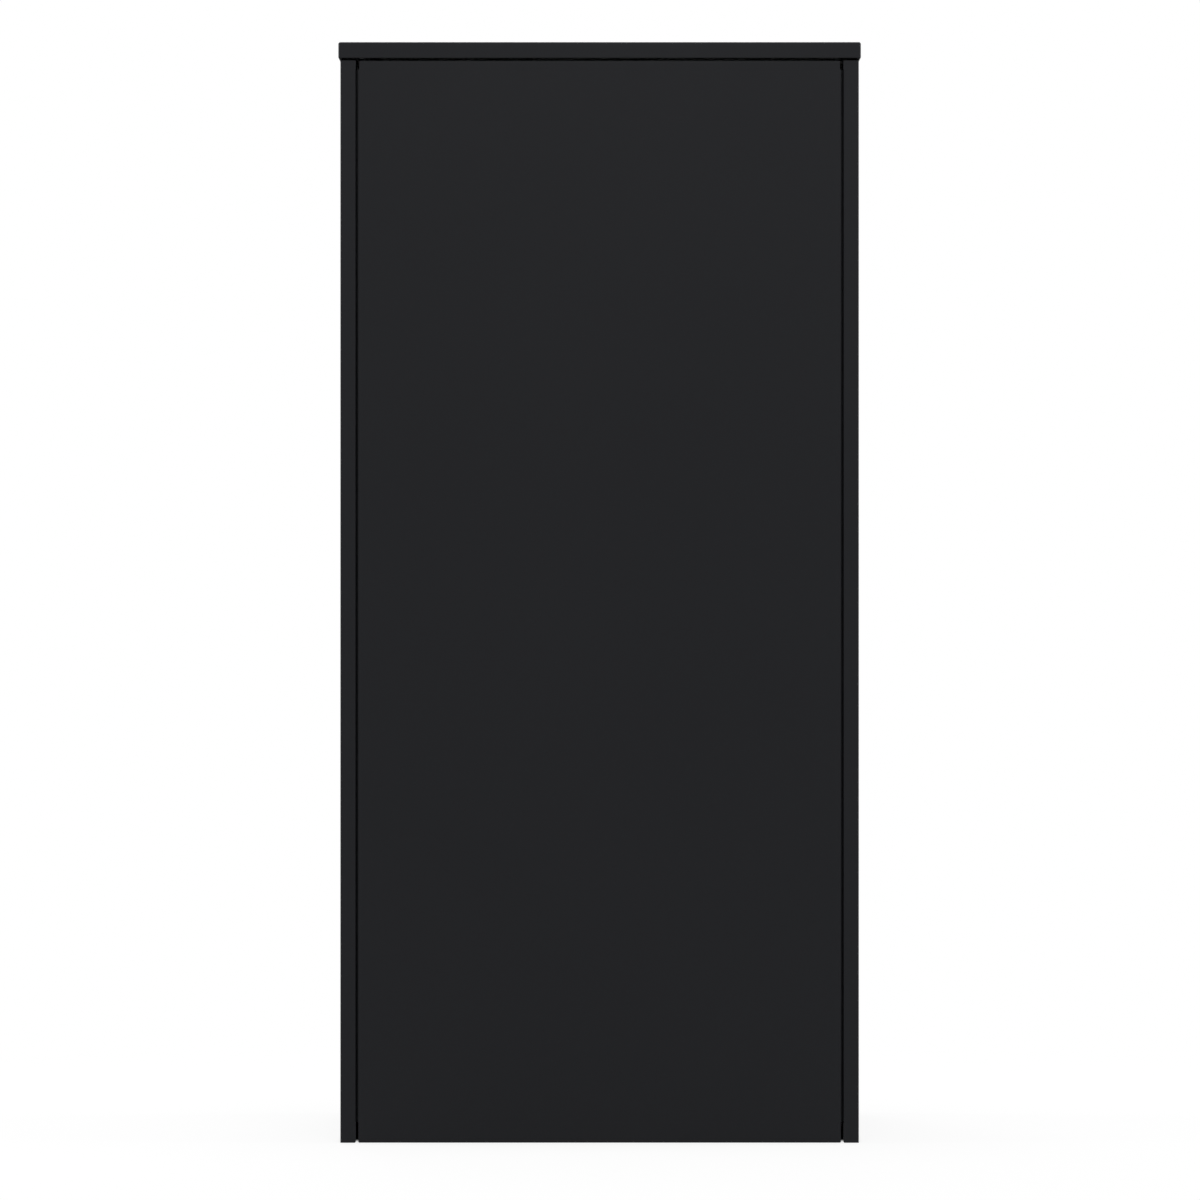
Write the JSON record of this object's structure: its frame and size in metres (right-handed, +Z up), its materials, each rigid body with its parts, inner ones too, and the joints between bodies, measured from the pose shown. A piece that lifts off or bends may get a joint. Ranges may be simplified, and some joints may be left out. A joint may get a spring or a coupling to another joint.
{
  "type": "tall chest of drawers",
  "caption": "Tall chest of drawers in folded, powder-coated sheet steel, with flush drawer fronts, bow handles and ball-bearing runners.",
  "frame": {"origin": "on the floor, under the middle of the chest's outline with its handles", "axes": "+Z up; the drawers open towards -Y and the back panel faces +Y; +X to the right of someone facing the drawers"},
  "size_m": [0.522, 0.432, 1.1],
  "materials": {
    "black_powder_coat": "smooth satin powder coat",
    "zinc_plated_steel": "bright zinc plate",
    "black_plastic": "moulded, matt",
    "black_rubber": "matt"
  },
  "bodies": {
    "cabinet": {"top_cap": "black_powder_coat", "cap_channels": "black_powder_coat", "left_side": "black_powder_coat", "right_side": "black_powder_coat", "back_panel": "black_powder_coat", "base_pan": "black_powder_coat", "front_plinth": "black_powder_coat", "front_left_upright": "black_powder_coat", "front_right_upright": "black_powder_coat", "rear_left_upright": "black_powder_coat", "rear_right_upright": "black_powder_coat", "top_rail": "black_powder_coat", "cross_rail_1": "black_powder_coat", "cross_rail_2": "black_powder_coat", "cross_rail_3": "black_powder_coat", "cross_rail_4": "black_powder_coat", "drawer_bumpers": "black_rubber", "levelling_feet": "black_plastic", "foot_nuts": "zinc_plated_steel", "cap_screws": "zinc_plated_steel", "back_screws": "zinc_plated_steel", "rail_screws": "zinc_plated_steel", "runner_screws": "zinc_plated_steel", "plinth_screws": "zinc_plated_steel", "runner_1_channels": "zinc_plated_steel", "runner_2_channels": "zinc_plated_steel", "runner_3_channels": "zinc_plated_steel", "runner_4_channels": "zinc_plated_steel", "runner_5_channels": "zinc_plated_steel"},
    "drawer_1": {"drawer_1_front": "black_powder_coat", "drawer_1_box": "black_powder_coat", "drawer_1_handle": "black_powder_coat", "drawer_1_slides": "zinc_plated_steel", "drawer_1_screws": "zinc_plated_steel"},
    "runner_1_cages": {"runner_1_ball_cages": "zinc_plated_steel"},
    "drawer_2": {"drawer_2_front": "black_powder_coat", "drawer_2_box": "black_powder_coat", "drawer_2_handle": "black_powder_coat", "drawer_2_slides": "zinc_plated_steel", "drawer_2_screws": "zinc_plated_steel"},
    "runner_2_cages": {"runner_2_ball_cages": "zinc_plated_steel"},
    "drawer_3": {"drawer_3_front": "black_powder_coat", "drawer_3_box": "black_powder_coat", "drawer_3_handle": "black_powder_coat", "drawer_3_slides": "zinc_plated_steel", "drawer_3_screws": "zinc_plated_steel"},
    "runner_3_cages": {"runner_3_ball_cages": "zinc_plated_steel"},
    "drawer_4": {"drawer_4_front": "black_powder_coat", "drawer_4_box": "black_powder_coat", "drawer_4_handle": "black_powder_coat", "drawer_4_slides": "zinc_plated_steel", "drawer_4_screws": "zinc_plated_steel"},
    "runner_4_cages": {"runner_4_ball_cages": "zinc_plated_steel"},
    "drawer_5": {"drawer_5_front": "black_powder_coat", "drawer_5_box": "black_powder_coat", "drawer_5_handle": "black_powder_coat", "drawer_5_slides": "zinc_plated_steel", "drawer_5_screws": "zinc_plated_steel"},
    "runner_5_cages": {"runner_5_ball_cages": "zinc_plated_steel"}
  },
  "joints": [
    {"name": "drawer_1_slide", "type": "slide", "parent": "cabinet", "child": "drawer_1", "axis": [0, -1, 0], "range_m": [0, 0.26]},
    {"name": "runner_1_cage_slide", "type": "slide", "parent": "cabinet", "child": "runner_1_cages", "axis": [0, -1, 0], "range_m": [0, 0.13]},
    {"name": "drawer_2_slide", "type": "slide", "parent": "cabinet", "child": "drawer_2", "axis": [0, -1, 0], "range_m": [0, 0.26]},
    {"name": "runner_2_cage_slide", "type": "slide", "parent": "cabinet", "child": "runner_2_cages", "axis": [0, -1, 0], "range_m": [0, 0.13]},
    {"name": "drawer_3_slide", "type": "slide", "parent": "cabinet", "child": "drawer_3", "axis": [0, -1, 0], "range_m": [0, 0.26]},
    {"name": "runner_3_cage_slide", "type": "slide", "parent": "cabinet", "child": "runner_3_cages", "axis": [0, -1, 0], "range_m": [0, 0.13]},
    {"name": "drawer_4_slide", "type": "slide", "parent": "cabinet", "child": "drawer_4", "axis": [0, -1, 0], "range_m": [0, 0.26]},
    {"name": "runner_4_cage_slide", "type": "slide", "parent": "cabinet", "child": "runner_4_cages", "axis": [0, -1, 0], "range_m": [0, 0.13]},
    {"name": "drawer_5_slide", "type": "slide", "parent": "cabinet", "child": "drawer_5", "axis": [0, -1, 0], "range_m": [0, 0.26]},
    {"name": "runner_5_cage_slide", "type": "slide", "parent": "cabinet", "child": "runner_5_cages", "axis": [0, -1, 0], "range_m": [0, 0.13]}
  ],
  "couplings": [
    {"joint": "runner_1_cage_slide", "follows": "drawer_1_slide", "ratio": 0.5},
    {"joint": "runner_2_cage_slide", "follows": "drawer_2_slide", "ratio": 0.5},
    {"joint": "runner_3_cage_slide", "follows": "drawer_3_slide", "ratio": 0.5},
    {"joint": "runner_4_cage_slide", "follows": "drawer_4_slide", "ratio": 0.5},
    {"joint": "runner_5_cage_slide", "follows": "drawer_5_slide", "ratio": 0.5}
  ]
}
